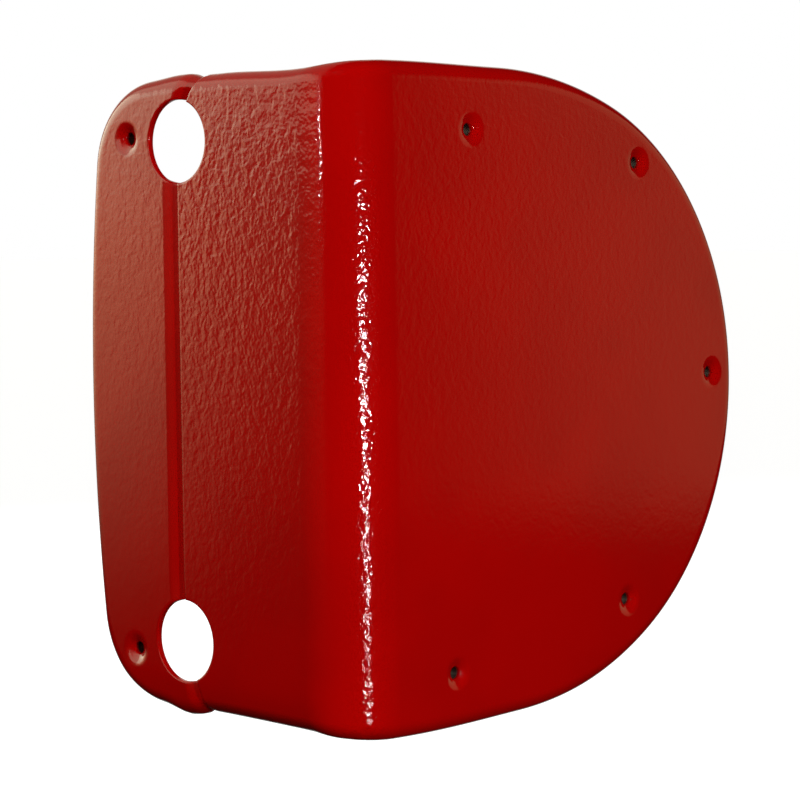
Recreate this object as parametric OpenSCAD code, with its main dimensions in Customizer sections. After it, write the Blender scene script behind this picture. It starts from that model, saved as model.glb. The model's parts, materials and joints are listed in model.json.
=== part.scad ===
// Two-piece formed sheet-metal cover for an alarm bell.
//
// The front shell is one pressed sheet: a D-shaped face, a large vertical bend and a side panel.
// The edge strip carries on from the side panel. Its tongue is joggled inwards by one sheet thickness and passes
// under the panel, so both outer faces are flush and the panel's cut edge shows as the seam.
// The edge of the cover is rolled back all round in a soft rim, and its back is open.
//
// The sheets are drawn about the corner where the outer planes of face and side meet, at half height:
// X runs along the face, Y runs back along the side and Z is up. The finished part has its origin midway
// between the two edge screws, on the plane of their dimples' floors.

/* [Sheet] */
// Thickness of both sheets, coating included
sheet_t = 2; // [1.5:0.1:2.5]
// Outer radius of the rolled rim
rim_r = 5; // [4:0.5:6]
// Straight return behind the rolled rim
rim_return = 1.5; // [0.5:0.5:3]
// Outer radius of the vertical bend
bend_r = 20; // [14:1:26]

/* [Face] */
// Height of the cover
cover_h = 200; // [196:1:206]
// Length of the face, from the corner to its round end
face_l = 186.5; // [170:0.5:200]

/* [Side] */
// Distance from the corner to the seam
seam_y = 73; // [70:1:76]
// Corner radius of the side panel at the seam
panel_corner_r = 19; // [14:1:20]
// Distance from the corner to the far edge
side_depth = 117; // [115:0.5:120]
// Corner radius of the far edge
strip_corner_r = 38; // [30:1:39]

/* [Joggle] */
// Width of the sloped band beside the seam
joggle_w = 4.6; // [3.5:0.1:6]
// Lap of the tongue under the side panel
lap = 28; // [24:1:32]
// Half height of the tongue
tongue_z = 93; // [92:0.5:94]

/* [Holes] */
// Diameter of the two large holes
tube_hole_d = 25.4; // [20:0.2:26]
// Height of the point midway between the large holes, above half height
tube_hole_rise = 1.4; // [0:0.2:2]
// Distance from the corner to the large holes
tube_hole_y = 73; // [70:0.5:75]
// Distance between the large holes
tube_hole_pitch = 154; // [140:1:156]
// Diameter of the screw holes
screw_hole_d = 3.8; // [3:0.1:4.5]
// Diameter of a dimple at the outer face
dimple_d = 9.6; // [9:0.2:12]
// Depth of a dimple
dimple_depth = 1.5; // [1.2:0.1:2.4]
// Distance from the corner to the edge screws
edge_screw_y = 96; // [94:0.5:98]
// Distance between the edge screws
edge_screw_pitch = 160; // [150:1:162]
// Face screws: distance from the corner and height above half height
face_screws = [[54, 80.5], [134.5, 71.5], [173, 2], [128, -70], [45.5, -84]];

/* [Lap fixings] */
// Diameter of a weld stud
stud_d = 4; // [3:0.5:5]
// Length of a weld stud
stud_l = 8; // [7:0.5:12]
// Heights of the studs
stud_z = [-50, 0, 50];
// Distance from the corner to the studs
stud_y = 58; // [55:1:62]
// Diameter of a washer
washer_d = 9; // [8:0.5:11]
// Thickness of a washer
washer_t = 0.8; // [0.6:0.1:1.2]
// Width of a nut across its corners
nut_d = 8.1; // [7:0.1:9]
// Height of a nut
nut_h = 3.2; // [2.4:0.1:4]

/* [Hidden] */
$fn = 96;
half_h = cover_h / 2;
// Flat sheet drawn together with the rim, and how far the flat plates reach into it
rim_flat = 9;
plate_inset = rim_r + 4;
// Centre of the face's round end
nose_x = face_l - half_h;
// How far past the outline the side panel's corner arcs run out
corner_run = 0.5;
// Centre of the side panel's corner arcs
seam_corner_y = seam_y - panel_corner_r;
seam_corner_z = half_h + corner_run - panel_corner_r;
// Centre of the far edge's corner arcs
corner_y = side_depth - strip_corner_r;
corner_z = half_h - strip_corner_r;
// Running clearance round the studs
stud_gap = 0.25;
thread_gap = 0.02;

// ---------- Sections ----------

// Section of the rim: X is the distance in from the outline, Y is the depth behind the outer face
module rim_section(flat = rim_flat) {
    translate([rim_r, 0]) square([flat, sheet_t]);
    translate([0, rim_r]) square([sheet_t, rim_return]);
    intersection() {
        square(rim_r);
        translate([rim_r, rim_r]) difference() {
            circle(rim_r);
            circle(rim_r - sheet_t);
        }
    }
}

// Solid section that the rims round off: X runs from the top outline (negative) to the bottom one, Y is the depth
module rim_envelope() {
    translate([rim_r - cover_h, 0]) square([cover_h - 2 * rim_r, rim_r]);
    for (rim_x = [-rim_r, rim_r - cover_h]) translate([rim_x, rim_r]) circle(rim_r);
}

// Section of the side panel and the bend: X is the depth behind the outer face, Y is the height
module wall_section() {
    for (end = [0, 1]) mirror([0, end]) translate([0, half_h]) rotate(-90) rim_section();
    translate([0, -half_h + plate_inset]) square([sheet_t, cover_h - 2 * plate_inset]);
}

// Section of the strip across the seam: X is the distance past the seam, Y is the depth
module joggle_section() {
    polygon([
        [-4, sheet_t], [0, sheet_t], [joggle_w, 0], [joggle_w + 4, 0],
        [joggle_w + 4, sheet_t], [joggle_w + 0.6, sheet_t], [0.6, 2 * sheet_t], [-4, 2 * sheet_t]
    ]);
}

// ---------- Sweeps along an outline in a plane ----------
// They are drawn on a plate whose outer face is z = 0 and whose depth runs along +Z.

// Rim along a straight edge, from the origin along +X, with the plate on its -Y side
module rim_straight(length) {
    rotate([90, 0, 90]) linear_extrude(length) mirror([1, 0]) rim_section();
}

// Rim along an arc about the origin, from angle `from` through `turn`
module rim_arc(radius, from, turn) {
    rotate(from) rotate_extrude(angle = turn) translate([radius, 0]) mirror([1, 0]) rim_section();
}

// Puts a plate's drawing on the face: its X runs along the face, its Y is up
module on_face() {
    rotate([90, 0, 0]) mirror([0, 0, 1]) children();
}

// Puts a plate's drawing on the side: its X runs back along the side, its Y is up
module on_side() {
    rotate([90, 0, 90]) children();
}

// Repeats a drawing above and below half height
module top_and_bottom() {
    for (end = [0, 1]) mirror([0, end, 0]) children();
}

// ---------- Shared shapes ----------

// Moves the corner frame to the finished part's origin
module cover_frame() {
    translate([-dimple_depth, -edge_screw_y, 0]) children();
}

// Back of a dimple, behind the sheet
module dimple_back() {
    wall = sheet_t * sqrt(2);
    translate([0, 0, sheet_t / 2])
        cylinder(h = dimple_depth + sheet_t / 2, r1 = dimple_d / 2 + wall - sheet_t / 2,
                 r2 = dimple_d / 2 + wall - dimple_depth - sheet_t);
}

// Front of a dimple and its screw hole
module dimple_cut() {
    translate([0, 0, -1]) cylinder(h = dimple_depth + 1, r1 = dimple_d / 2 + 1, r2 = dimple_d / 2 - dimple_depth);
    cylinder(h = dimple_depth + 2 * sheet_t, d = screw_hole_d);
}

module at_face_screws() {
    for (p = face_screws) translate([p[0], p[1], 0]) children();
}

module at_edge_screws() {
    top_and_bottom() translate([edge_screw_y, edge_screw_pitch / 2, 0]) children();
}

module tube_holes() {
    translate([tube_hole_y, tube_hole_rise, -1]) top_and_bottom()
        translate([0, tube_hole_pitch / 2, 0]) cylinder(h = 3 * sheet_t, d = tube_hole_d);
}

// Region on the front shell's side of a line at distance `past` beyond the seam, its corners rounded with the panel's
module seam_region(past) {
    radius = panel_corner_r + past;
    top_and_bottom() translate([seam_corner_y, seam_corner_z]) circle(radius);
    translate([0, -seam_corner_z]) square([seam_y + past, 2 * seam_corner_z]);
    translate([0, -seam_corner_z - radius]) square([seam_corner_y, 2 * (seam_corner_z + radius)]);
}

// ---------- Front shell ----------

// D-shaped face with its rim
module face_plate() {
    top_and_bottom() translate([bend_r, half_h, 0]) rim_straight(nose_x - bend_r);
    translate([nose_x, 0, 0]) rim_arc(half_h, -90, 180);
    linear_extrude(sheet_t) {
        translate([bend_r, -half_h + plate_inset]) square([nose_x - bend_r, cover_h - 2 * plate_inset]);
        intersection() {
            translate([nose_x, 0]) circle(half_h - plate_inset);
            translate([nose_x - sheet_t, -half_h]) square([cover_h, cover_h]);
        }
    }
}

module bend() {
    translate([bend_r, bend_r, 0]) rotate(180) rotate_extrude(angle = 90)
        translate([bend_r, 0]) mirror([1, 0]) wall_section();
}

module side_panel() {
    intersection() {
        translate([0, seam_y, 0]) rotate([90, 0, 0]) linear_extrude(seam_y - bend_r) wall_section();
        translate([-1, 0, 0]) on_side() linear_extrude(rim_r + rim_return + 2) seam_region(0);
    }
}

module front_shell() {
    color("firebrick") cover_frame() difference() {
        union() {
            on_face() {
                face_plate();
                at_face_screws() dimple_back();
            }
            bend();
            side_panel();
        }
        on_face() at_face_screws() dimple_cut();
        on_side() tube_holes();
    }
}

// ---------- Edge strip ----------

// Flat outer part of the strip with its rim, before the seam is cut
module strip_plate() {
    start = seam_y - panel_corner_r - 6;
    top_and_bottom() {
        translate([start, half_h, 0]) rim_straight(corner_y - start);
        translate([corner_y, corner_z, 0]) rim_arc(strip_corner_r, 0, 90);
    }
    translate([side_depth, corner_z, 0]) rotate(-90) rim_straight(2 * corner_z);
    linear_extrude(sheet_t) {
        translate([start, -half_h + plate_inset]) square([corner_y - start, cover_h - 2 * plate_inset]);
        top_and_bottom() translate([corner_y, corner_z]) circle(strip_corner_r - plate_inset);
        translate([corner_y, -corner_z]) square([strip_corner_r - plate_inset, 2 * corner_z]);
    }
}

// Sloped band beside the seam
module joggle_band() {
    intersection() {
        union() {
            translate([seam_y, seam_corner_z, 0]) rotate([90, 0, 0]) linear_extrude(2 * seam_corner_z) joggle_section();
            top_and_bottom() translate([seam_corner_y, seam_corner_z]) rotate_extrude(angle = 90)
                translate([panel_corner_r, 0]) joggle_section();
        }
        translate([0, half_h, 0]) rotate([90, 0, 90]) linear_extrude(corner_y) rim_envelope();
    }
}

module tongue() {
    translate([seam_y - lap, -tongue_z, sheet_t]) linear_extrude(sheet_t) intersection() {
        square([lap, 2 * tongue_z]);
        translate([lap - seam_y, tongue_z]) seam_region(0);
    }
}

module edge_strip() {
    color("red") cover_frame() on_side() difference() {
        union() {
            difference() {
                strip_plate();
                translate([0, 0, -1]) linear_extrude(rim_r + rim_return + 2) seam_region(joggle_w);
            }
            joggle_band();
            tongue();
            at_edge_screws() dimple_back();
        }
        at_edge_screws() dimple_cut();
        tube_holes();
        at_studs() cylinder(h = 3 * sheet_t, d = stud_d + 2 * stud_gap);
    }
}

// ---------- Lap fixings ----------

module at_studs() {
    for (z = stud_z) translate([stud_y, z, 0]) children();
}

module lap_studs() {
    color("silver") cover_frame() on_side() at_studs() translate([0, 0, sheet_t]) cylinder(h = stud_l, d = stud_d);
}

module lap_washers() {
    color("silver") cover_frame() on_side() at_studs() translate([0, 0, 2 * sheet_t]) difference() {
        cylinder(h = washer_t, d = washer_d);
        translate([0, 0, -1]) cylinder(h = washer_t + 2, d = stud_d + 2 * stud_gap);
    }
}

module lap_nuts() {
    color("silver") cover_frame() on_side() at_studs() translate([0, 0, 2 * sheet_t + washer_t]) difference() {
        cylinder(h = nut_h, d = nut_d, $fn = 6);
        translate([0, 0, -1]) cylinder(h = nut_h + 2, d = stud_d + 2 * thread_gap);
    }
}

front_shell();
edge_strip();
lap_studs();
lap_washers();
lap_nuts();
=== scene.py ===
"""Visual model of a two-piece formed sheet-metal cover for an alarm bell.

The sheets are made as a press shop makes them: a flat blank is cut, its holes are punched, its screw
dimples and its joggle are pressed, its edge is rolled, and the whole is folded round the large bend.

Lengths are millimetres, except where a docstring says metres. Blanks are drawn in the flat pattern: x runs
along the face from the corner where the outer planes of face and side meet, and is negative along the
side; z is up, from half height.
"""

import json
import logging
from dataclasses import dataclass, field
from enum import Enum
from math import asin, atan2, ceil, cos, hypot, pi, radians, sin, sqrt, tau
from typing import Any, Callable, Iterable, Sequence

import bpy
from mathutils import Matrix, Vector
from mathutils.geometry import delaunay_2d_cdt

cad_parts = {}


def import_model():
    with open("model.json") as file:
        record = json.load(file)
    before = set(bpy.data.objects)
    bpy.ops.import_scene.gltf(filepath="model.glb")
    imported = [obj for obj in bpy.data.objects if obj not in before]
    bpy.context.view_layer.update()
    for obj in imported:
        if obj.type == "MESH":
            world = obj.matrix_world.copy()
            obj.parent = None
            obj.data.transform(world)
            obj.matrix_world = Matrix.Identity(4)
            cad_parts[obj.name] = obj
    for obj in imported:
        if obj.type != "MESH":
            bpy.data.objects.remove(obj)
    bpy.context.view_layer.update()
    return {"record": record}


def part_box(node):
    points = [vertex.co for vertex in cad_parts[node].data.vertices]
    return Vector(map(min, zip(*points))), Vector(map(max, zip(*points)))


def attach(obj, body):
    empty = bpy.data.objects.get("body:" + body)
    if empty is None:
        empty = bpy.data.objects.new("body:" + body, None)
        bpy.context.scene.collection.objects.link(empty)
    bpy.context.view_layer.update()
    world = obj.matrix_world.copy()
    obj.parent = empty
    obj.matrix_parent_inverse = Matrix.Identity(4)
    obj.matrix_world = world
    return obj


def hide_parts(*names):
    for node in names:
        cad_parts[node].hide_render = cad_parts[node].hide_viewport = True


LOG = logging.getLogger("alarm_cover")
MM = 0.001
BODY = "root"
# Attribute that marks where the coat paints shade into the screw holes' bores.
BORE_SHADE_SHARE = "bore_share"
Point = tuple[float, float]
Span = tuple[float, float]
Colour = tuple[float, float, float, float]
Triple = tuple[float, float, float]
Reading = Callable[[float, float], float]
Row = Callable[[float], tuple[float, float]]


# ---------------------------------------------------------------- Shader and geometry nodes


class Wire:
    """A node's output that takes part in sums: every operation adds one Math node."""

    def __init__(self, graph: "Graph", output: bpy.types.NodeSocket) -> None:
        """Wrap an output.

        Args:
            graph: The node tree that new Math nodes go to.
            output: The output socket.
        """
        self.graph = graph
        self.output = output

    def math(self, operation: str, *values: Any) -> "Wire":
        """Add a Math node.

        Args:
            operation: The Math node's operation.
            values: Numbers or wires for its inputs, in order.

        Returns:
            The node's result.
        """
        links = dict(enumerate(values))
        return self.graph.node("ShaderNodeMath", {"operation": operation}, links).wire("Value")

    def __add__(self, other: Any) -> "Wire":
        """Sum."""
        return self.math("ADD", self, other)

    def __radd__(self, other: Any) -> "Wire":
        """Reflected sum."""
        return self.math("ADD", other, self)

    def __sub__(self, other: Any) -> "Wire":
        """Difference."""
        return self.math("SUBTRACT", self, other)

    def __rsub__(self, other: Any) -> "Wire":
        """Reflected difference."""
        return self.math("SUBTRACT", other, self)

    def __mul__(self, other: Any) -> "Wire":
        """Product."""
        return self.math("MULTIPLY", self, other)

    def __rmul__(self, other: Any) -> "Wire":
        """Reflected product."""
        return self.math("MULTIPLY", other, self)

    def ramp(self, start: float, end: float, low: float = 0.0, high: float = 1.0) -> "Wire":
        """Ease from one value to another.

        Args:
            start: The wire's value where the ramp begins.
            end: The wire's value where the ramp ends.
            low: The result at the start and before it.
            high: The result at the end and past it.

        Returns:
            The eased value.
        """
        settings = {"interpolation_type": "SMOOTHSTEP"}
        links = {0: self, 1: start, 2: end, 3: low, 4: high}
        return self.graph.node("ShaderNodeMapRange", settings, links).wire("Result")

    def ramp_mm(self, span: Span, low: float = 0.0, high: float = 1.0) -> "Wire":
        """Ease from one value to another over a span of millimetres along an axis."""
        return self.ramp(span[0] * MM, span[1] * MM, low, high)


class PlacedNode:
    """A node in a tree, whose outputs are asked for by name or number."""

    def __init__(self, graph: "Graph", node: bpy.types.Node) -> None:
        """Keep the node and its tree."""
        self.graph = graph
        self.node = node

    def wire(self, name: str | int = 0) -> Wire:
        """The output of that name or number."""
        return Wire(self.graph, self.node.outputs[name])


class Graph:
    """A node tree that is written as expressions."""

    def __init__(self, tree: bpy.types.NodeTree) -> None:
        """Start on a cleared tree."""
        self.tree = tree
        tree.nodes.clear()

    def node(self, kind: str, settings: dict[str, Any] | None = None,
             links: dict[str | int, Any] | None = None) -> PlacedNode:
        """Add a node.

        Args:
            kind: The node's type.
            settings: Its own settings, which are set first.
            links: Values or wires for its inputs, by name or number.

        Returns:
            The new node.
        """
        node = self.tree.nodes.new(kind)
        for name, value in (settings or {}).items():
            setattr(node, name, value)
        for name, value in (links or {}).items():
            if isinstance(value, Wire):
                self.tree.links.new(value.output, node.inputs[name])
            else:
                node.inputs[name].default_value = value
        return PlacedNode(self, node)

    def mix_colours(self, factor: Any, first: Any, second: Any) -> Wire:
        """Blend two colours.

        Args:
            factor: Share of the second colour.
            first: A colour or wire.
            second: A colour or wire.

        Returns:
            The blended colour.
        """
        node = self.node("ShaderNodeMix", {"data_type": "RGBA"}, {0: factor, 6: first, 7: second})
        return node.wire(2)

    def noise(self, place: Wire, size: float, detail: float, distortion: float) -> Wire:
        """Noise whose lumps are about `size` millimetres across.

        Args:
            place: The coordinates.
            size: The size of a lump.
            detail: Octaves of finer noise.
            distortion: How far the lumps are pulled out of round.

        Returns:
            A value from 0 to 1.
        """
        links = {"Vector": place, "Scale": 1.0 / (size * MM), "Detail": detail, "Distortion": distortion}
        return self.node("ShaderNodeTexNoise", links=links).wire(0)

    def surface(self, links: dict[str | int, Any]) -> None:
        """End a material's tree in one shader with these values and wires."""
        shader = self.node("ShaderNodeBsdfPrincipled", links=links)
        self.node("ShaderNodeOutputMaterial", links={"Surface": shader.wire("BSDF")})


def new_material(name: str) -> tuple[bpy.types.Material, Graph]:
    """Start a material, and return it with its empty tree."""
    material = bpy.data.materials.new(name)
    material.use_nodes = True
    return material, Graph(material.node_tree)


def rgb(red: float, green: float, blue: float) -> Colour:
    """A scene-linear colour with full alpha."""
    return red, green, blue, 1.0


# ---------------------------------------------------------------- Finishes


class Slot(Enum):
    """The record's material slots."""

    SHELL_COAT = "shell_coat"
    STRIP_COAT = "strip_coat"
    ZINC_STEEL = "zinc_steel"


@dataclass(frozen=True)
class PowderCoat:
    """Gloss powder coat with orange peel: coarse on the side, coarsest on the bend and faint on the face.

    The side's and the bend's spans run along X, and the low, high and top spans run up Z, in millimetres.
    The walls of the screw holes' bores are painted near black as painted shade.
    """

    slot: Slot
    colour: Colour = rgb(0.50, 0.0006, 0.0003)
    thin_colour: Colour = rgb(0.46, 0.0005, 0.0003)
    thin_span: Span = (0.35, 0.7)
    pool_size: float = 38.0
    roughness: float = 0.075
    pool_roughness: float = 0.06
    # Painted shade: the screw holes' bore walls get a near-black colour that stands in for the shade
    # inside the holes.
    bore_shade_colour: Colour = rgb(0.012, 0.0015, 0.001)
    bore_roughness: float = 0.6
    bore_shade_span: Span = (0.04, 0.3)
    peel_size: float = 2.4
    peel_run: float = 0.8
    fine_size: float = 0.42
    fine_share: float = 0.3
    side_peel: float = 0.085
    face_peel: float = 0.035
    side_end: Span = (4.0, 17.0)
    low_span: Span = (-60.0, 60.0)
    low_share: float = 0.3
    high_span: Span = (78.0, 90.0)
    high_share: float = 0.7
    bend_peel: float = 0.20
    bend_start: Span = (1.0, 5.5)
    bend_end: Span = (11.0, 16.0)
    bend_top: Span = (60.0, 80.0)
    bend_top_share: float = 0.35

    def build(self) -> bpy.types.Material:
        """Make the material."""
        material, graph = new_material(self.slot.value)
        place = graph.node("ShaderNodeTexCoord").wire("Object")
        relief = self.peel(graph, place) * self.peel_height(graph, place)
        bump = graph.node("ShaderNodeBump", links={"Strength": 1.0, "Distance": MM, "Height": relief})
        pooling = graph.noise(place, self.pool_size, detail=2.0, distortion=0.0)
        coat = graph.mix_colours(pooling.ramp(*self.thin_span), self.colour, self.thin_colour)
        # The attribute marks the screw holes' bore walls, where the red coat gives way to near-black
        # painted shade.
        share = graph.node("ShaderNodeAttribute", {"attribute_name": BORE_SHADE_SHARE}).wire("Fac")
        in_shaded_bore = share.ramp(*self.bore_shade_span)
        gloss = self.roughness + (pooling - 0.5) * self.pool_roughness + in_shaded_bore * self.bore_roughness
        graph.surface({
            "Base Color": graph.mix_colours(in_shaded_bore, coat, self.bore_shade_colour),
            "Roughness": gloss, "Normal": bump.wire("Normal"), "IOR": 1.5})
        return material

    def peel(self, graph: Graph, place: Wire) -> Wire:
        """The lumps of the orange peel, drawn out a little up the part, with finer ones on them."""
        stretch = (1.0, 1.0, self.peel_run)
        drawn = graph.node("ShaderNodeMapping", links={"Vector": place, "Scale": stretch})
        lumps = graph.noise(drawn.wire("Vector"), self.peel_size, detail=1.0, distortion=0.4)
        fine = graph.noise(place, self.peel_size * self.fine_size, detail=0.0, distortion=0.2)
        return lumps + fine * self.fine_share

    def peel_height(self, graph: Graph, place: Wire) -> Wire:
        """How high the orange peel stands at a place, in millimetres."""
        axes = graph.node("ShaderNodeSeparateXYZ", links={0: place})
        along, height = axes.wire("X"), axes.wire("Z")
        flats = along.ramp_mm(self.side_end, self.side_peel, self.face_peel)
        low = height.ramp_mm(self.low_span, self.low_share, 1.0)
        high = height.ramp_mm(self.high_span, 1.0, self.high_share)
        bend = along.ramp_mm(self.bend_start) * along.ramp_mm(self.bend_end, 1.0, 0.0)
        bend_top = height.ramp_mm(self.bend_top, 1.0, self.bend_top_share)
        return flats * (low * high) + bend * bend_top * self.bend_peel


@dataclass(frozen=True)
class ZincPlate:
    """Bright zinc plate on turned steel, a little clouded."""

    slot: Slot
    colour: Colour = rgb(0.72, 0.72, 0.70)
    cloud: Colour = rgb(0.55, 0.56, 0.57)
    cloud_span: Span = (0.4, 0.7)
    cloud_size: float = 2.2
    roughness: float = 0.28
    cloud_roughness: float = 0.12
    mark_size: float = 0.25
    mark_depth: float = 0.004

    def build(self) -> bpy.types.Material:
        """Make the material."""
        material, graph = new_material(self.slot.value)
        place = graph.node("ShaderNodeTexCoord").wire("Object")
        clouds = graph.noise(place, self.cloud_size, detail=3.0, distortion=0.3)
        marks = graph.noise(place, self.mark_size, detail=1.0, distortion=0.0)
        bump = graph.node("ShaderNodeBump", links={
            "Strength": 0.5, "Distance": self.mark_depth * MM, "Height": marks})
        graph.surface({
            "Base Color": graph.mix_colours(clouds.ramp(*self.cloud_span), self.colour, self.cloud),
            "Metallic": 1.0, "Roughness": self.roughness + clouds * self.cloud_roughness,
            "Normal": bump.wire("Normal")})
        return material


# ---------------------------------------------------------------- Outline of the flat pattern


@dataclass(frozen=True)
class Disc:
    """The disc that a round stretch of the outline belongs to."""

    x: float
    z: float
    radius: float


def touching_disc(first: Disc, second: Disc, radius: float, near: Point) -> Disc:
    """A disc that touches two others, each inside or round the other.

    Args:
        first: One disc.
        second: The other disc.
        radius: The new disc's radius.
        near: A point near its centre, which picks one of the two solutions.

    Returns:
        The new disc.
    """
    reach_1 = abs(first.radius - radius)
    reach_2 = abs(second.radius - radius)
    span_x, span_z = second.x - first.x, second.z - first.z
    span = hypot(span_x, span_z)
    along = (reach_1**2 - reach_2**2 + span**2) / (2 * span)
    off = sqrt(reach_1**2 - along**2)
    centres = [
        (first.x + (span_x * along - side * span_z * off) / span,
         first.z + (span_z * along + side * span_x * off) / span)
        for side in (-1, 1)]
    x, z = min(centres, key=lambda c: hypot(c[0] - near[0], c[1] - near[1]))
    return Disc(x, z, radius)


def junction_angle(first: Disc, second: Disc) -> float:
    """Direction of the outward normal where two touching discs hand over."""
    large, small = (first, second) if first.radius > second.radius else (second, first)
    return atan2(small.z - large.z, small.x - large.x)


@dataclass
class Outline:
    """Convex outline of both sheets laid flat, as arcs that run into each other."""

    half_height: float
    nose_end: float
    far_edge: float
    nose_r: float = 96.4
    top_shoulder_r: float = 153.0
    bottom_shoulder_r: float = 121.0
    top_crown_x: float = 65.0
    top_edge_r: float = 5000.0
    bottom_crown_x: float = 45.0
    bottom_edge_r: float = 3600.0
    far_edge_r: float = 618.0
    far_edge_crown_z: float = 2.4
    far_top_r: float = 27.8
    far_bottom_r: float = 30.6
    longest_step: float = 3.0
    steps_per_radian: int = 14
    arcs: list[tuple[Disc, float, float]] = field(default_factory=list)

    def __post_init__(self) -> None:
        """Work out the discs and where they hand over, anticlockwise from the nose."""
        height = self.half_height
        nose = Disc(self.nose_end - self.nose_r, 0.0, self.nose_r)
        top = Disc(self.top_crown_x, height - self.top_edge_r, self.top_edge_r)
        bottom = Disc(self.bottom_crown_x, self.bottom_edge_r - height, self.bottom_edge_r)
        far = Disc(self.far_edge_r - self.far_edge, self.far_edge_crown_z, self.far_edge_r)
        corner_x = self.far_top_r - self.far_edge
        discs = [
            nose,
            touching_disc(top, nose, self.top_shoulder_r, (0.0, height - self.top_shoulder_r)),
            top,
            touching_disc(top, far, self.far_top_r, (corner_x, height)),
            far,
            touching_disc(bottom, far, self.far_bottom_r, (corner_x, -height)),
            bottom,
            touching_disc(bottom, nose, self.bottom_shoulder_r, (0.0, self.bottom_shoulder_r - height)),
        ]
        for number, disc in enumerate(discs):
            start = junction_angle(discs[number - 1], disc)
            end = junction_angle(disc, discs[(number + 1) % len(discs)])
            self.arcs.append((disc, start, start + (end - start) % tau))

    def ring(self, offset: float) -> list[Point]:
        """Points along the outline moved outwards.

        Args:
            offset: How far outwards; negative is inwards.

        Returns:
            The points, anticlockwise.
        """
        points = []
        for disc, start, end in self.arcs:
            step = min(self.longest_step, disc.radius / self.steps_per_radian)
            count = ceil((end - start) * disc.radius / step)
            for number in range(count):
                angle = start + (end - start) * number / count
                reach = disc.radius + offset
                points.append((disc.x + reach * cos(angle), disc.z + reach * sin(angle)))
        return points

    def inside(self, x: float, z: float) -> tuple[float, float]:
        """How far a point is inside the outline.

        Args:
            x: Place along the flat pattern.
            z: Height.

        Returns:
            The distance, negative outside, and the direction of the outward normal.
        """
        slack = 1e-9
        best = (1e9, 0.0)
        for disc, start, end in self.arcs:
            angle = atan2(z - disc.z, x - disc.x)
            if (angle - start + slack) % tau <= end - start + 2 * slack:
                distance = disc.radius - hypot(x - disc.x, z - disc.z)
                best = min(best, (distance, angle))
        return best


@dataclass(frozen=True)
class SeamEnd:
    """The arc that carries the seam towards the panel at its top or bottom end."""

    radius: float
    start_z: float

    def shift(self, z: float, gap: float) -> float:
        """How far towards the panel the line at `gap` past the seam has come at a height."""
        radius = self.radius + gap
        over = min(max(0.0, abs(z) - self.start_z), radius)
        return radius - sqrt(radius**2 - over**2)


@dataclass(frozen=True)
class Seam:
    """The side panel's cut edge: upright, and curved towards the panel at its ends."""

    back: float
    top: SeamEnd = SeamEnd(31.4, 74.1)
    bottom: SeamEnd = SeamEnd(120.0, 52.7)
    reach_z: float = 100.5
    step: float = 1.5

    def end(self, z: float) -> SeamEnd:
        """The arc on that side of half height."""
        return self.top if z > 0 else self.bottom

    def past(self, x: float, z: float) -> float:
        """How far a point lies past the seam towards the far edge; negative is on the panel's side."""
        end = self.end(z)
        over_x = -x - (self.back - end.radius)
        over_z = max(0.0, abs(z) - end.start_z)
        return hypot(over_x, over_z) - end.radius if over_x > 0 else -end.radius

    def line(self, gap: float) -> list[Point]:
        """Points along the line at `gap` past the seam, from the bottom end to the top end."""
        count = ceil(2 * self.reach_z / self.step)
        heights = [self.reach_z * (2 * number / count - 1) for number in range(count + 1)]
        return [(self.end(z).shift(z, gap) - self.back - gap, z) for z in heights]


# ---------------------------------------------------------------- Pressing and folding


def eased(share: float) -> float:
    """Smooth step from 0 to 1."""
    share = min(1.0, max(0.0, share))
    return share * share * (3 - 2 * share)


@dataclass(frozen=True)
class Dimple:
    """A pressed seat round a screw hole."""

    x: float
    z: float
    hole_r: float
    depth: float
    outer_r: float = 6.0
    floor_r: float = 1.2
    softness: float = 1.6
    collar: float = 2.0
    collar_w: float = 0.8
    ring_count: int = 9
    first_ring: float = 0.14
    last_ring: float = 0.3

    def dip(self, x: float, z: float) -> float:
        """Depth of the outer surface at a point."""
        reach = hypot(x - self.x, z - self.z)
        return self.depth * eased((self.outer_r - reach) / (self.outer_r - self.floor_r)) ** self.softness

    def collar_drop(self, x: float, z: float) -> float:
        """Extra depth of the inner surface, where piercing has drawn a collar round the hole."""
        reach = hypot(x - self.x, z - self.z) - self.hole_r
        return self.collar * (1 - eased((reach - self.collar_w) / self.collar_w))

    def ring_places(self) -> list[float]:
        """Distances from the hole's edge of the rings of points, the last just outside the dimple."""
        width = self.outer_r + self.last_ring - self.hole_r
        gap = (1 - self.first_ring) / self.ring_count
        return [width * (self.first_ring + gap * number) for number in range(1, self.ring_count + 1)]


@dataclass(frozen=True)
class Hole:
    """A round punched hole."""

    x: float
    z: float
    radius: float
    step: float = 0.8
    fewest_points: int = 40

    def circle(self, grow: float = 0.0) -> list[Point]:
        """Points round the hole, `grow` outside its edge."""
        radius = self.radius + grow
        count = max(self.fewest_points, 4 * ceil(tau * self.radius / self.step / 4))
        turns = [tau * n / count for n in range(count)]
        return [(self.x + radius * cos(a), self.z + radius * sin(a)) for a in turns]

    def clear(self, x: float, z: float) -> float:
        """Distance outside the hole's edge."""
        return hypot(x - self.x, z - self.z) - self.radius


@dataclass(frozen=True)
class EdgeWave:
    """A gentle rise or fall of the top or bottom edge that folding leaves beside and over the bend."""

    x: float
    half_width: float
    rise: float

    def lift(self, x: float) -> float:
        """How far outwards the edge moves at a place along the flat pattern."""
        return self.rise * eased(1 - abs(x - self.x) / self.half_width)


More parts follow.
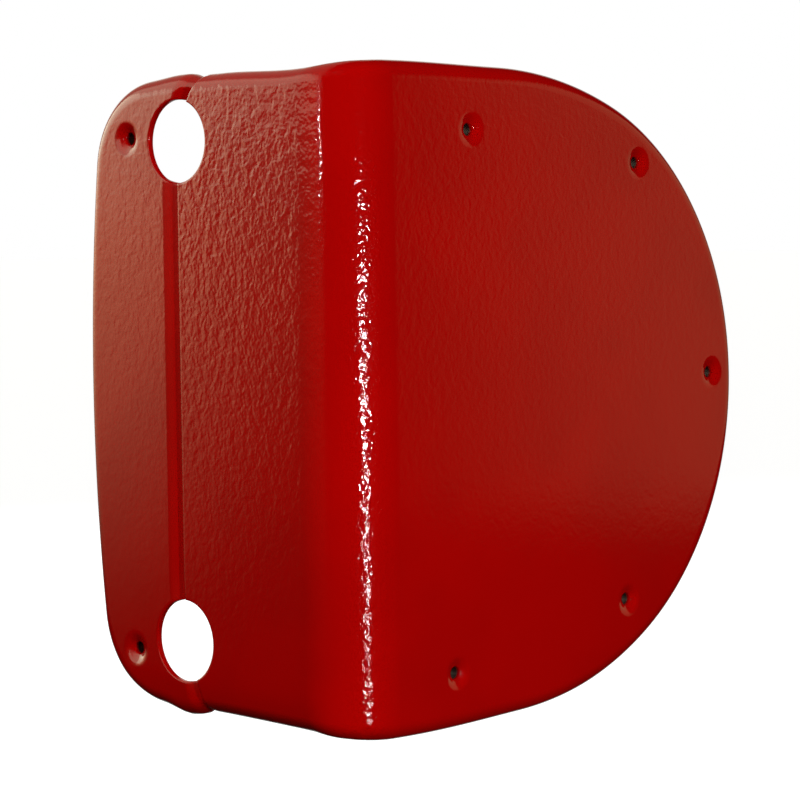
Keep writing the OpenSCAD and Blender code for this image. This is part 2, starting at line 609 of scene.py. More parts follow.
@dataclass
class Press:
    """The tools that both sheets are formed on.

    The rim is rolled in by a quarter turn of `rim_r` and runs on straight for `rim_return`. The coat
    rounds each cut edge to `edge_r`. The waves move the top and bottom edges, and `low_roll` draws in the
    bottom edge of the side. Scribed lines run past the blank by `spare`.
    """

    outline: Outline
    seam: Seam
    shift: Vector
    thickness: float = 2.0
    rim_r: float = 5.0
    rim_return: float = 1.5
    bend_r: float = 20.0
    edge_r: float = 0.45
    edge_rows: tuple[float, ...] = (0.0, 0.08, 0.29, 0.63, 1.0, 2.0, 4.0)
    flat_rings: tuple[float, ...] = (-8.5, -6.0, -3.5, -0.6)
    rim_parts: int = 12
    spare: float = 4.0
    wave_start: float = 90.0
    wave_run: float = 7.0
    low_roll: float = 2.2
    low_roll_start: float = 86.0
    low_roll_side: float = 5.0
    top_waves: tuple[EdgeWave, ...] = (
        EdgeWave(28, 45, 0.6), EdgeWave(-26, 30, -1.1), EdgeWave(-74, 16, 1.0))
    bottom_waves: tuple[EdgeWave, ...] = (
        EdgeWave(35, 62, 1.3), EdgeWave(-58, 40, -0.9), EdgeWave(-24, 34, -0.5), EdgeWave(-75.5, 12, 2.1))

    @property
    def rim_reach(self) -> float:
        """How far the flat blank reaches past the finished outline."""
        return self.rim_r * pi / 2 + self.rim_return - self.rim_r

    def rounding(self, distance: float) -> float:
        """Depth of a coated edge's rounding, `distance` from the cut."""
        inset = max(0.0, self.edge_r - max(0.0, distance))
        return self.edge_r - sqrt(self.edge_r**2 - inset**2)

    def edge_steps(self) -> list[float]:
        """Distances from a cut at which its rounding, and the flat beside it, get a row of points."""
        return [self.edge_r * share for share in self.edge_rows]

    def rim_steps(self) -> list[float]:
        """Offsets from the outline at which the rolled rim and the flat beside it get a ring of points."""
        quarter = self.rim_r * pi / 2
        rolled = [quarter * number / self.rim_parts for number in range(self.rim_parts + 1)]
        return [place - self.rim_r for place in (*self.flat_rings, *rolled, quarter + self.rim_return)]

    def unroll(self, x: float, z: float) -> Point:
        """Where a point of the finished outline's plan lies on the flat blank."""
        inside, angle = self.outline.inside(x, z)
        over = self.rim_r - inside
        if over <= 0:
            return x, z
        stretch = self.rim_r * asin(min(1.0, over / self.rim_r)) - over
        return x + stretch * cos(angle), z + stretch * sin(angle)

    def plan(self, x: float, z: float) -> tuple[float, float, float, float]:
        """Roll the rim at a point of the blank.

        Args:
            x: Place along the blank.
            z: Height on the blank.

        Returns:
            The point in plan, how far round the rim it is, and the direction of the outward normal.
        """
        inside, angle = self.outline.inside(x, z)
        over = self.rim_r - inside
        if over <= 0:
            return x, z, 0.0, angle
        turn = min(over / self.rim_r, pi / 2)
        pull = self.rim_r * sin(turn) - over
        return x + pull * cos(angle), z + pull * sin(angle), over, angle

    def form(self, x: float, z: float, dip: Reading, back: float) -> Vector:
        """Carry a point of the blank to its place on the finished sheet.

        Args:
            x: Place along the blank.
            z: Height on the blank.
            dip: Depth of the pressed shape at a point in plan.
            back: Depth through the sheet.

        Returns:
            The point in the part's frame, in metres.
        """
        plan_x, plan_z, over, angle = self.plan(x, z)
        depth = dip(plan_x, plan_z) + back
        if over > 0:
            turn = min(over / self.rim_r, pi / 2)
            pull = depth * sin(turn)
            plan_x -= pull * cos(angle)
            plan_z -= pull * sin(angle)
            straight = max(0.0, over - self.rim_r * pi / 2)
            depth = self.rim_r - (self.rim_r - depth) * cos(turn) + straight
        return self.fold(plan_x, plan_z, depth)

    def fold(self, x: float, z: float, depth: float) -> Vector:
        """Fold a point of the sheet round the large bend.

        Args:
            x: Place along the flat pattern.
            z: Height.
            depth: How far in from the outer surface.

        Returns:
            The point in the part's frame, in metres.
        """
        radius = self.bend_r
        waves = self.top_waves if z > 0 else self.bottom_waves
        near_edge = eased((abs(z) - self.wave_start) / self.wave_run)
        lift = near_edge * sum(wave.lift(x) for wave in waves)
        past = max(0.0, (-z - self.low_roll_start) / (self.outline.half_height - self.low_roll_start))
        depth += self.low_roll * past**2 * eased((-x - self.low_roll_side) / radius)
        z += lift if z > 0 else -lift
        if x >= radius:
            place = Vector((x, depth, z))
        elif x <= -radius:
            place = Vector((depth, -x, z))
        else:
            turn = (x + radius) / (2 * radius) * pi / 2
            reach = radius - depth
            place = Vector((radius - reach * cos(turn), radius - reach * sin(turn), z))
        return (place + self.shift) * MM


@dataclass
class Blank:
    """A flat blank, whose lines and points are gathered and then triangulated."""

    points: list[Point] = field(default_factory=list)
    edges: list[tuple[int, int]] = field(default_factory=list)

    def line(self, points: Sequence[Point], closed: bool = False) -> None:
        """Scribe a line that the mesh follows.

        Args:
            points: The line's points.
            closed: Whether the line comes back to its start.
        """
        first = len(self.points)
        self.points.extend(points)
        last = len(self.points) - 1
        self.edges.extend((n, n + 1) for n in range(first, last))
        if closed:
            self.edges.append((last, first))

    def dot(self, x: float, z: float) -> None:
        """Add a point that belongs to no line."""
        self.points.append((x, z))

    def triangles(self, keep: Callable[[float, float], bool]) -> tuple[list[Point], list[tuple[int, ...]]]:
        """Triangulate the blank.

        Args:
            keep: Whether the material at a point stays.

        Returns:
            The points, and the triangles that stay.
        """
        vectors = [Vector(point) for point in self.points]
        merge = 1e-4
        result = delaunay_2d_cdt(vectors, self.edges, [], 0, merge, False)
        points = [(vector.x, vector.y) for vector in result[0]]
        kept = []
        for face in result[2]:
            x = sum(points[n][0] for n in face) / 3
            z = sum(points[n][1] for n in face) / 3
            if keep(x, z):
                kept.append(tuple(face))
        used = sorted({n for face in kept for n in face})
        place = {old: new for new, old in enumerate(used)}
        return [points[n] for n in used], [tuple(place[n] for n in face) for face in kept]


def sheet_mesh(name: str, press: Press, blank: Blank, keep: Callable[[float, float], bool],
               dip: Reading, cut: Reading, collar: Reading) -> bpy.types.Mesh:
    """Form a blank into a closed sheet with both skins and its cut edges.

    Args:
        name: The mesh's name.
        press: The forming tools.
        blank: The blank and its lines.
        keep: Whether the material at a point of the blank stays.
        dip: Depth of the pressed shape at a point in plan.
        cut: Distance from the nearest cut edge at a point in plan.
        collar: Extra depth of the inner surface at a point in plan.

    Returns:
        The finished mesh.
    """
    points, faces = blank.triangles(keep)

    def outer(x: float, z: float) -> float:
        """Depth of the outer skin, with its edges rounded."""
        return dip(x, z) + press.rounding(cut(x, z))

    def inner(x: float, z: float) -> float:
        """Depth of the inner skin beyond the sheet's thickness."""
        return dip(x, z) - press.rounding(cut(x, z)) + collar(x, z)

    vertices = [press.form(x, z, outer, 0.0) for x, z in points]
    vertices += [press.form(x, z, inner, press.thickness) for x, z in points]
    count = len(points)
    sides = {(face[n - 1], face[n]) for face in faces for n in range(3)}
    walls = [(b, a, a + count, b + count) for a, b in sides if (b, a) not in sides]
    backs = [tuple(n + count for n in reversed(face)) for face in faces]
    mesh = bpy.data.meshes.new(name)
    mesh.from_pydata(vertices, [], [*faces, *backs, *sorted(walls)])
    mesh.validate()
    # Mark the inner skin's points at the screw holes' bore walls, which the coat paints near black as
    # painted shade.
    share = mesh.attributes.new(BORE_SHADE_SHARE, "FLOAT", "POINT")
    shaded_bore_edge = 0.3 * press.edge_r
    bore_shade_shares = [0.0] * count + [float(collar(x, z) > 0 and cut(x, z) < shaded_bore_edge) for x, z in points]
    share.data.foreach_set("value", bore_shade_shares)
    finish_mesh(mesh, crease=34.0)
    return mesh


def finish_mesh(mesh: bpy.types.Mesh, crease: float) -> None:
    """Shade a mesh smooth, with edges sharp past an angle in degrees."""
    mesh.polygons.foreach_set("use_smooth", [True] * len(mesh.polygons))
    mesh.set_sharp_from_angle(angle=radians(crease))
    mesh.update()


def within(polygon: Sequence[Point], x: float, z: float) -> bool:
    """Whether a point lies in a polygon."""
    result = False
    for number, (end_x, end_z) in enumerate(polygon):
        start_x, start_z = polygon[number - 1]
        if (start_z > z) != (end_z > z):
            result ^= x < start_x + (z - start_z) / (end_z - start_z) * (end_x - start_x)
    return result


def place_piece(mesh: bpy.types.Mesh, material: bpy.types.Material, node: str) -> None:
    """Put a finished mesh into the scene as the piece that stands for a CAD node.

    Args:
        mesh: The finished mesh.
        material: Its finish.
        node: The CAD node.
    """
    if not mesh.materials:
        mesh.materials.append(material)
    piece = bpy.data.objects.new(f"{node}_finished", mesh)
    bpy.context.scene.collection.objects.link(piece)
    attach(piece, BODY)
    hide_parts(node)
    low, high = (Vector(map(limit, zip(*(v.co for v in mesh.vertices)))) for limit in (min, max))
    size = " x ".join(f"{extent / MM:.1f}" for extent in high - low)
    LOG.info("%s: %d faces, %s mm", piece.name, len(mesh.polygons), size)


# ---------------------------------------------------------------- The two sheets


@dataclass
class CoverSheet:
    """What the front shell and the edge strip share."""

    press: Press
    tube_holes: list[Hole]
    dimples: list[Dimple]
    flat_step: float = 7.0
    flat_inset: float = 2.0
    flat_clear: float = 6.5
    far_away: float = 400.0

    @property
    def screw_holes(self) -> list[Hole]:
        """The screw holes in the dimples."""
        return [Hole(dimple.x, dimple.z, dimple.hole_r) for dimple in self.dimples]

    def punch(self, blank: Blank) -> None:
        """Scribe the rolled rim, the holes and the dimples."""
        for offset in self.press.rim_steps():
            blank.line(self.press.outline.ring(offset), closed=True)
        for hole in self.tube_holes:
            for grow in self.press.edge_steps():
                blank.line(hole.circle(grow), closed=True)
        for dimple, hole in zip(self.dimples, self.screw_holes):
            rounding = [step for step in self.press.edge_steps() if step <= self.press.edge_r]
            for grow in (*rounding, *dimple.ring_places()):
                blank.line(hole.circle(grow), closed=True)

    def scribe_seam(self, blank: Blank, gaps: Iterable[float]) -> None:
        """Scribe lines beside the seam, out to the blank's edge.

        Args:
            blank: The blank.
            gaps: How far past the seam each line lies.
        """
        for gap in gaps:
            blank.line(self.seam_on_blank(gap))

    def seam_on_blank(self, gap: float) -> list[Point]:
        """The line at `gap` past the seam, unrolled, from below the blank to above it."""
        outline = self.press.outline
        least = 0.05
        run = [point for point in self.press.seam.line(gap) if outline.inside(*point)[0] > least]
        run_out = self.press.rim_reach + self.press.spare
        ends = []
        for x, z in (run[0], run[-1]):
            flat_x, flat_z = self.press.unroll(x, z)
            angle = outline.inside(x, z)[1]
            ends.append((flat_x + run_out * cos(angle), flat_z + run_out * sin(angle)))
        return [ends[0], *(self.press.unroll(x, z) for x, z in run), ends[1]]

    def beside_seam(self, gap: float, side: int) -> list[Point]:
        """Outline of all that lies on one side of a line beside the seam.

        Args:
            gap: How far past the seam the line lies.
            side: 1 for the panel's side, -1 for the strip's.

        Returns:
            A polygon that reaches far beyond the blank.
        """
        edge = self.seam_on_blank(gap)
        return [*edge, (side * self.far_away, edge[-1][1]), (side * self.far_away, edge[0][1])]

    def flat_dots(self, blank: Blank, low_x: float, high_x: float) -> None:
        """Spread points over the flat of a sheet, clear of its holes."""
        step = self.flat_step
        rows = int(self.press.outline.half_height / step)
        inset = self.press.rim_r + self.flat_inset
        for column in range(ceil(low_x / step), int(high_x / step) + 1):
            for row in range(-rows, rows + 1):
                x, z = column * step, row * step
                if self.press.outline.inside(x, z)[0] >= inset and self.cut(x, z) > self.flat_clear:
                    blank.dot(x, z)

    def dip(self, x: float, z: float) -> float:
        """Depth of the dimples at a point in plan."""
        return sum(dimple.dip(x, z) for dimple in self.dimples)

    def collars(self, x: float, z: float) -> float:
        """Extra depth of the inner surface round the screw holes."""
        return sum(dimple.collar_drop(x, z) for dimple in self.dimples)

    def cut(self, x: float, z: float) -> float:
        """Distance from the nearest hole's edge."""
        return min(hole.clear(x, z) for hole in [*self.tube_holes, *self.screw_holes])

    def in_holes(self, x: float, z: float) -> bool:
        """Whether a point falls in a hole."""
        return self.cut(x, z) < 0


@dataclass
class FrontShell(CoverSheet):
    """The D-shaped face, the large bend and the side panel, pressed from one sheet."""

    bend_parts: int = 36
    bend_clear: float = 4.0
    seam_clear: float = 3.0

    def build(self, material: bpy.types.Material) -> None:
        """Make the shell."""
        press = self.press
        blank = Blank()
        self.punch(blank)
        self.scribe_seam(blank, [-step for step in press.edge_steps()])
        self.bend_lines(blank)
        self.flat_dots(blank, press.bend_r + self.bend_clear, press.outline.nose_end)
        self.flat_dots(blank, self.seam_clear - press.seam.back, -press.bend_r - self.bend_clear)
        panel_side = self.beside_seam(0.0, side=1)

        def keep(x: float, z: float) -> bool:
            """Whether a point of the blank is part of the shell."""
            on_blank = press.outline.inside(x, z)[0] > -press.rim_reach
            return on_blank and within(panel_side, x, z) and not self.in_holes(x, z)

        def cut(x: float, z: float) -> float:
            """Distance from the nearest hole's edge or from the panel's cut edge."""
            return min(self.cut(x, z), -press.seam.past(x, z))

        mesh = sheet_mesh("front_shell_finished", press, blank, keep, self.dip, cut, self.collars)
        place_piece(mesh, material, "front_shell")

    def bend_lines(self, blank: Blank) -> None:
        """Scribe upright lines across the bend, so that it folds evenly."""
        height = self.press.outline.half_height + self.press.rim_reach + self.press.spare
        rows = ceil(2 * height / self.flat_step)
        for number in range(-1, self.bend_parts + 2):
            x = self.press.bend_r * (2 * number / self.bend_parts - 1)
            blank.line([(x, height * (2 * row / rows - 1)) for row in range(rows + 1)])


@dataclass
class EdgeStrip(CoverSheet):
    """The strip that carries the side on to the far edge, with its joggle and tongue."""

    joggle_w: float = 6.4
    joggle_depth: float = 2.05
    joggle_parts: int = 12
    lap: float = 28.0
    tongue_half: float = 93.0
    overlap: float = 0.8
    stud_holes: list[Hole] = field(default_factory=list)

    def build(self, material: bpy.types.Material) -> None:
        """Make the strip."""
        press = self.press
        blank = Blank()
        self.punch(blank)
        gaps = [self.joggle_w * part / self.joggle_parts for part in range(-1, self.joggle_parts + 2)]
        self.scribe_seam(blank, [-self.overlap, *gaps])
        back = press.seam.back
        tongue = [(-back, -self.tongue_half), (self.lap - back, -self.tongue_half),
                  (self.lap - back, self.tongue_half), (-back, self.tongue_half)]
        blank.line(tongue)
        for hole in self.stud_holes:
            blank.line(hole.circle(), closed=True)
        self.flat_dots(blank, -press.outline.far_edge, -back - self.joggle_w)
        strip_side = self.beside_seam(-self.overlap, side=-1)

        def keep(x: float, z: float) -> bool:
            """Whether a point of the blank is part of the strip."""
            if press.outline.inside(x, z)[0] < -press.rim_reach or self.in_holes(x, z):
                return False
            if any(hole.clear(x, z) < 0 for hole in self.stud_holes):
                return False
            return within(strip_side, x, z) or within(tongue, x, z)

        mesh = sheet_mesh("edge_strip_finished", press, blank, keep, self.joggled, self.cut, self.collars)
        place_piece(mesh, material, "edge_strip")

    def joggled(self, x: float, z: float) -> float:
        """Depth of the dimples and the joggle at a point in plan."""
        step_down = 1 - eased(self.press.seam.past(x, z) / self.joggle_w)
        return self.dip(x, z) + self.joggle_depth * step_down


# ---------------------------------------------------------------- Lap fixings


def turned_mesh(name: str, rows: Sequence[Row], segments: int, closed: bool) -> bpy.types.Mesh:
    """Turn a profile about the X axis, where each row may vary round its turn.

    Args:
        name: The mesh's name.
        rows: For each row, a function from the turn to its radius and its place along X.
        segments: Points in a row.
        closed: Whether the last row joins the first, as on a ring; otherwise the ends are capped.

    Returns:
        The mesh, in millimetres.
    """
    vertices = []
    for row in rows:
        for number in range(segments):
            turn = tau * number / segments
            radius, along = row(turn)
            vertices.append((along, radius * cos(turn), radius * sin(turn)))
    faces = []
    last = len(rows) if closed else len(rows) - 1
    for row in range(last):
        after = (row + 1) % len(rows)
        for number in range(segments):
            side = (number + 1) % segments
            faces.append((row * segments + number, row * segments + side,
                          after * segments + side, after * segments + number))
    if not closed:
        faces.append(tuple(reversed(range(segments))))
        faces.append(tuple(range((len(rows) - 1) * segments, len(rows) * segments)))
    mesh = bpy.data.meshes.new(name)
    mesh.from_pydata(vertices, [], faces)
    mesh.validate()
    return mesh


def row_tree() -> bpy.types.NodeTree:
    """Geometry nodes that set out one fixing in a row up the lap."""
    tree = bpy.data.node_groups.new("fixing_row", "GeometryNodeTree")
    graph = Graph(tree)
    sockets = (("Fixing", "INPUT", "NodeSocketGeometry"), ("Count", "INPUT", "NodeSocketInt"),
               ("First", "INPUT", "NodeSocketVector"), ("Pitch", "INPUT", "NodeSocketVector"),
               ("Finish", "INPUT", "NodeSocketMaterial"), ("Row", "OUTPUT", "NodeSocketGeometry"))
    for name, direction, kind in sockets:
        tree.interface.new_socket(name, in_out=direction, socket_type=kind)
    given = graph.node("NodeGroupInput")
    places = graph.node("GeometryNodeMeshLine", {"mode": "OFFSET"}, {
        "Count": given.wire("Count"), "Start Location": given.wire("First"),
        "Offset": given.wire("Pitch")})
    copies = graph.node("GeometryNodeInstanceOnPoints", links={
        "Points": places.wire("Mesh"), "Instance": given.wire("Fixing")})
    real = graph.node("GeometryNodeRealizeInstances", links={0: copies.wire("Instances")})
    dressed = graph.node("GeometryNodeSetMaterial", links={
        "Geometry": real.wire("Geometry"), "Material": given.wire("Finish")})
    graph.node("NodeGroupOutput", links={0: dressed.wire("Geometry")})
    return tree


@dataclass
class LapFixings:
    """Weld studs, washers and nuts that hold the strip's tongue behind the side panel."""

    count: int = 3
    thread_pitch: float = 0.7
    thread_depth: float = 0.38
    thread_slope: float = 2.4
    thread_rows: int = 8
    fade_rows: int = 4
    plain_run: float = 2.6
    chamfer: float = 0.45
    washer_bore_r: float = 2.2
    washer_edge: float = 0.12
    nut_bore_r: float = 2.02
    nut_face: float = 0.94
    nut_chamfer: float = 0.6
    nut_mouth: float = 0.4
    nut_thread_share: float = 0.4
    nut_run_in: float = 0.3
    nut_rows: int = 24
    segments: int = 48
    tree: bpy.types.NodeTree | None = None

    def build(self, material: bpy.types.Material) -> None:
        """Make the three rows of fixings."""
        self.tree = row_tree()
        self.row("lap_studs", self.stud, material)
        self.row("lap_washers", self.washer, material)
        self.row("lap_nuts", self.nut, material)

    def row(self, node: str, make: Callable[[float, float], bpy.types.Mesh],
            material: bpy.types.Material) -> None:
        """Set out one kind of fixing where the CAD node has it.

        Args:
            node: The CAD node.
            make: Makes one fixing from its length and its radius.
            material: Its finish.
        """
        low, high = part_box(node)
        radius = (high.y - low.y) / 2 / MM
        mesh = make((high.x - low.x) / MM, radius)
        mesh.transform(Matrix.Scale(MM, 4))
        holder = bpy.data.objects.new(f"{node}_one", mesh)
        bpy.context.scene.collection.objects.link(holder)
        modifier = holder.modifiers.new("row", "NODES")
        modifier.node_group = self.tree
        reach = high.z - low.z
        width = 2 * radius * MM
        if node == "lap_nuts":
            width *= sin(pi / 3)
        pitch = (reach - width) / (self.count - 1)
        values = {
            "Count": self.count, "First": (low.x, (low.y + high.y) / 2, low.z + width / 2),
            "Pitch": (0.0, 0.0, pitch), "Finish": material}
        for item in self.tree.interface.items_tree:
            if item.name in values:
                modifier[item.identifier] = values[item.name]
        bpy.context.view_layer.update()
        graph = bpy.context.evaluated_depsgraph_get()
        finished = bpy.data.meshes.new_from_object(holder.evaluated_get(graph))
        bpy.data.objects.remove(holder)
        finish_mesh(finished, crease=40.0)
        place_piece(finished, material, node)

    def thread(self, along: float, turn: float) -> float:
        """Depth of the thread at a place along it and round it."""
        phase = (along / self.thread_pitch - turn / tau) % 1.0
        return self.thread_depth * min(1.0, self.thread_slope * abs(phase - 0.5))

    def stud(self, length: float, radius: float) -> bpy.types.Mesh:
        """One weld stud, plain where it meets the panel and threaded beyond."""
        threaded = length - self.plain_run - self.chamfer
        steps = ceil(threaded / self.thread_pitch * self.thread_rows)
        rows: list[Row] = [lambda turn: (radius, 0.0)]
        for number in range(steps + 1):
            along = self.plain_run + threaded * number / steps
            fade = min(1.0, number / self.fade_rows)
            rows.append(lambda turn, a=along, f=fade: (radius - f * self.thread(a, turn), a))
        tip = radius - self.thread_depth - self.chamfer
        rows.append(lambda turn: (tip, length))
        return turned_mesh("lap_stud", rows, self.segments, closed=False)

    def washer(self, length: float, radius: float) -> bpy.types.Mesh:
        """One flat washer with broken edges."""
        bore, soft = self.washer_bore_r, self.washer_edge
        profile = [
            (bore, soft), (bore + soft, 0.0), (radius - soft, 0.0), (radius, soft),
            (radius, length - soft), (radius - soft, length), (bore + soft, length), (bore, length - soft)]
        rows = [lambda turn, p=point: p for point in profile]
        return turned_mesh("lap_washer", rows, self.segments, closed=True)

    def nut(self, length: float, radius: float) -> bpy.types.Mesh:
        """One hexagon nut with chamfered corners and a threaded bore."""
        flat = radius * cos(pi / 6)
        corner = radius - flat
        drop = corner * self.nut_chamfer
        bore = self.nut_bore_r
        mouth = bore + self.nut_mouth

        def hexagon(turn: float, limit: float) -> float:
            """Reach of the hexagon at a turn, up to a limit."""
            return min(limit, flat / cos((turn + pi / 6) % (pi / 3) - pi / 6))

        rows: list[Row] = [lambda turn: (flat * self.nut_face, 0.0)]
        for share in (0.0, 0.5, 1.0):
            rows.append(lambda turn, s=share: (hexagon(turn, flat + corner * s), drop * s))
        for share in (1.0, 0.5, 0.0):
            rows.append(lambda turn, s=share: (hexagon(turn, flat + corner * s), length - drop * s))
        rows.append(lambda turn: (mouth, length))
        for number in range(self.nut_rows, -1, -1):
            along = self.nut_run_in + (length - 2 * self.nut_run_in) * number / self.nut_rows
            rows.append(lambda turn, a=along: (bore + self.thread(a, turn) * self.nut_thread_share, a))
        rows.append(lambda turn: (mouth, 0.0))
        return turned_mesh("lap_nut", rows, self.segments, closed=True)


# ---------------------------------------------------------------- Studio


@dataclass
class Studio:
    """Camera, lights, the room that the gloss mirrors, and a pale floor."""

    azimuth: float = 46.368
    elevation: float = 3.320
    roll: float = -0.739
    distance: float = 777.41
    lens: float = 120.99
    sensor: float = 36.0
    aim: Triple = (10.20, -10.60, 1.14)
    floor_drop: float = 160.0
    floor_half: float = 60.0

    def build(self, shift: Vector, low: float) -> None:
        """Set the studio up.

        Args:
            shift: From the sheets' corner to the part's origin, in millimetres.
            low: The part's lowest height, in metres.
        """
        self.camera(shift)
        self.floor(low)
        self.world()
        self.lights()

    def camera(self, shift: Vector) -> None:
        """Place the camera, which looks at `aim`, a point measured from the sheets' corner."""
        turn, dip, roll = radians(self.azimuth), radians(self.elevation), radians(self.roll)
        view = Vector((sin(turn) * cos(dip), cos(turn) * cos(dip), -sin(dip)))
        level = Vector((cos(turn), -sin(turn), 0.0))
        upright = level.cross(view)
        right = level * cos(roll) + upright * sin(roll)
        up = upright * cos(roll) - level * sin(roll)
        data = bpy.data.cameras.new("camera")
        data.lens = self.lens
        data.sensor_width = self.sensor
        data.clip_start = 0.01
        camera = bpy.data.objects.new("camera", data)
        bpy.context.scene.collection.objects.link(camera)
        place = (Vector(self.aim) + shift - view * self.distance) * MM
        axes = Matrix((right, up, -view)).transposed().to_4x4()
        camera.matrix_world = Matrix.Translation(place) @ axes
        bpy.context.scene.camera = camera
        LOG.info("camera looks along %s", tuple(round(value, 3) for value in view))

    def floor(self, low: float) -> None:
        """Lay the floor below the part, out of its reflections."""
        material, graph = new_material("floor_paint")
        graph.surface({
            "Base Color": rgb(0.35, 0.35, 0.35), "Roughness": 0.9,
            "Emission Color": rgb(1.0, 1.0, 1.0), "Emission Strength": 0.9})
        height = low - self.floor_drop * MM
        mesh = bpy.data.meshes.new("floor")
        signs = ((-1, -1), (1, -1), (1, 1), (-1, 1))
        corners = [(x * self.floor_half, y * self.floor_half, height) for x, y in signs]
        mesh.from_pydata(corners, [], [(0, 1, 2, 3)])
        mesh.materials.append(material)
        floor = bpy.data.objects.new("floor", mesh)
        bpy.context.scene.collection.objects.link(floor)
        floor.visible_glossy = False
        floor.visible_diffuse = False

    @staticmethod
    def world() -> None:
        """White where the camera sees it, a dim sky that lights, and a room that only the gloss mirrors.

        The room has a warm wall to the left and behind, a faint glow above it, a brown wall to the right
        and a grey one behind. A wall's bearing is in degrees from +X towards +Y.
        """
        world = bpy.data.worlds.new("studio")
        bpy.context.scene.world = world
        world.use_nodes = True
        graph = Graph(world.node_tree)
        path = graph.node("ShaderNodeLightPath")
        way = graph.node("ShaderNodeTexCoord").wire("Generated")
        axes = graph.node("ShaderNodeSeparateXYZ", links={0: way})
        across, back, up = axes.wire("X"), axes.wire("Y"), axes.wire("Z")

        def towards(bearing: float) -> Wire:
            """Cosine of the turn between a direction and a bearing."""
            return across * cos(radians(bearing)) + back * sin(radians(bearing))

        warm_wall = towards(108.0)
        bright_end = warm_wall.ramp(cos(radians(26.6)), cos(radians(21.6)))
        dim_end = warm_wall.ramp(cos(radians(82.0)), cos(radians(68.0))) * 0.09
        wall = (bright_end + dim_end) * up.ramp(-0.175, 0.165)
        above = towards(135.0).ramp(0.64, 0.80) * up.ramp(0.042, 0.064)
        paint = graph.mix_colours(up.ramp(-0.02, 0.12), rgb(4.3, 2.6, 1.45), rgb(4.2, 4.2, 3.1))
        side_wall = graph.mix_colours(wall, rgb(0.0, 0.0, 0.0), paint)
        warm = graph.mix_colours(above * 0.36, side_wall, paint)
        brighter_up = 1.0 + up.ramp(0.04, 0.10) * 1.5
        brown = towards(-20.0).ramp(0.900, 0.975) * up.ramp(-0.115, -0.085) * brighter_up
        dim = graph.mix_colours(brown, rgb(0.006, 0.005, 0.004), rgb(0.55, 0.38, 0.20))
        grey = towards(45.0).ramp(0.80, 0.92)
        dim_room = graph.mix_colours(grey, dim, rgb(0.5, 0.5, 0.48))
        room = graph.node("ShaderNodeMix", {"data_type": "RGBA", "blend_type": "ADD"}, {
            0: 1.0, 6: warm, 7: dim_room})
        sky = graph.mix_colours(up.ramp(-0.5, 0.5), rgb(0.012, 0.012, 0.012), rgb(0.20, 0.195, 0.185))
        lit = graph.mix_colours(path.wire("Is Glossy Ray"), sky, room.wire(2))
        colour = graph.mix_colours(path.wire("Is Camera Ray"), lit, rgb(1.0, 1.0, 1.0))
        background = graph.node("ShaderNodeBackground", links={"Color": colour, "Strength": 1.0})
        graph.node("ShaderNodeOutputWorld", links={"Surface": background.wire("Background")})

    def lights(self) -> None:
        """Hang three small lamps that the gloss mirrors, and four soft ones that it doesn't."""
        white, soft = (1.0, 0.99, 0.97), (1.0, 0.98, 0.95)
        self.area("upper_lamp", (-0.184, -0.69, -0.034), (0.030, 0.090), 1.0, white, shows=True)
        self.area("lower_lamp", (-0.184, -0.69, -0.162), (0.016, 0.085), 0.30, white, shows=True)
        self.area("side_lamp", (-0.60, -0.09, 0.106), (0.022, 0.010), 0.08, white, shows=True)
        self.area("key_lamp", (-0.58, -0.30, 0.58), (0.40, 0.40), 2.8, soft, shows=False)
        self.area("face_fill", (0.02, -0.46, 0.01), (0.12, 0.12), 0.28, soft, shows=False)
        self.area("side_fill", (-1.8, 0.1, 0.8), (1.0, 1.0), 3.0, (1.0, 0.97, 0.93), shows=False)
        self.area("back_fill", (0.9, 1.7, 0.8), (1.4, 1.4), 26.0, (0.98, 0.99, 1.0), shows=False)

    @staticmethod
    def area(name: str, place: Triple, size: tuple[float, float], power: float, colour: Triple,
             shows: bool) -> None:
        """Hang an area light aimed at the part.

        Args:
            name: The light's name.
            place: Where it hangs, in metres.
            size: Its width and height, in metres.
            power: Its power in watts.
            colour: Its colour.
            shows: Whether glossy surfaces mirror it.
        """
        data = bpy.data.lights.new(name, "AREA")
        data.shape = "RECTANGLE"
        data.size, data.size_y = size
        data.energy = power
        data.color = colour
        light = bpy.data.objects.new(name, data)
        light.location = place
        light.rotation_euler = (-Vector(place)).to_track_quat("-Z", "Y").to_euler()
        light.visible_glossy = shows
        light.visible_camera = False
        bpy.context.scene.collection.objects.link(light)


# ---------------------------------------------------------------- The cover


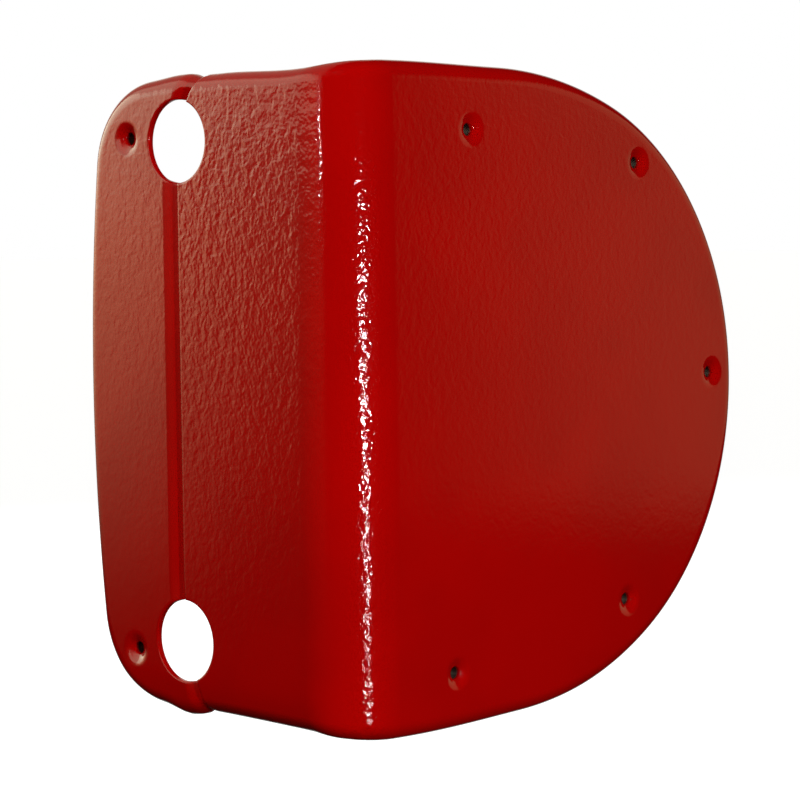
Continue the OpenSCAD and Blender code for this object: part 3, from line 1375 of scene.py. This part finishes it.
@dataclass
class AlarmCover:
    """The whole cover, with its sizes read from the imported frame."""

    record: dict[str, Any]
    dimple_depth: float = 1.5
    nose_inset: float = 0.4
    far_bow: float = 0.7
    stud_hole_gap: float = 0.25

    def mounts(self, start: str) -> list[dict[str, Any]]:
        """The record's mounts whose names begin with `start`."""
        return [mount for mount in self.record["mounts"] if mount["name"].startswith(start)]

    def build(self) -> None:
        """Build every piece in order."""
        shell_low, shell_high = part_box("front_shell")
        strip_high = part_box("edge_strip")[1]
        shift = Vector((shell_low.x, shell_low.y, 0.0)) / MM
        outline = Outline(
            half_height=shell_high.z / MM,
            nose_end=(shell_high.x - shell_low.x) / MM - self.nose_inset,
            far_edge=(strip_high.y - shell_low.y) / MM + self.far_bow)
        tubes = self.mounts("tube_holes")[0]
        press = Press(outline, Seam(tubes["pos_m"][1] / MM - shift.y), shift)
        tube_holes = self.pattern(tubes, shift)
        edge_holes = self.pattern(self.mounts("edge_screws")[0], shift)
        face_dimples = [
            Dimple(mount["pos_m"][0] / MM - shift.x, mount["pos_m"][2] / MM, mount["dims"]["r_mm"],
                   self.dimple_depth)
            for mount in self.mounts("face_screw")]
        edge_dimples = [Dimple(hole.x, hole.z, hole.radius, self.dimple_depth) for hole in edge_holes]
        stud_low, stud_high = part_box("lap_studs")
        stud_r = (stud_high.y - stud_low.y) / 2 / MM
        stud_x = shift.y - (stud_low.y + stud_high.y) / 2 / MM
        stud_reach = stud_high.z / MM - stud_r
        hole_r = stud_r + self.stud_hole_gap
        stud_holes = [Hole(stud_x, height, hole_r) for height in (-stud_reach, 0.0, stud_reach)]
        FrontShell(press, tube_holes, face_dimples).build(PowderCoat(Slot.SHELL_COAT).build())
        strip_coat = PowderCoat(Slot.STRIP_COAT, side_peel=0.035, bend_peel=0.0).build()
        EdgeStrip(press, tube_holes, edge_dimples, stud_holes=stud_holes).build(strip_coat)
        LapFixings().build(ZincPlate(Slot.ZINC_STEEL).build())
        Studio().build(shift, shell_low.z)

    @staticmethod
    def pattern(mount: dict[str, Any], shift: Vector) -> list[Hole]:
        """The two holes of a bolt pattern on the side, where they lie on the blank."""
        half = mount["dims"]["spacing_y_mm"] / 2
        x = shift.y - mount["pos_m"][1] / MM
        middle = mount["pos_m"][2] / MM
        return [Hole(x, middle + height, mount["dims"]["hole_r_mm"]) for height in (half, -half)]


def main() -> None:
    """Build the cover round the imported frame."""
    logging.basicConfig(level=logging.INFO, format="%(name)s: %(message)s")
    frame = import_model()
    bpy.context.scene.view_settings.view_transform = "Standard"
    AlarmCover(frame["record"]).build()


if __name__ == "__main__":
    main()
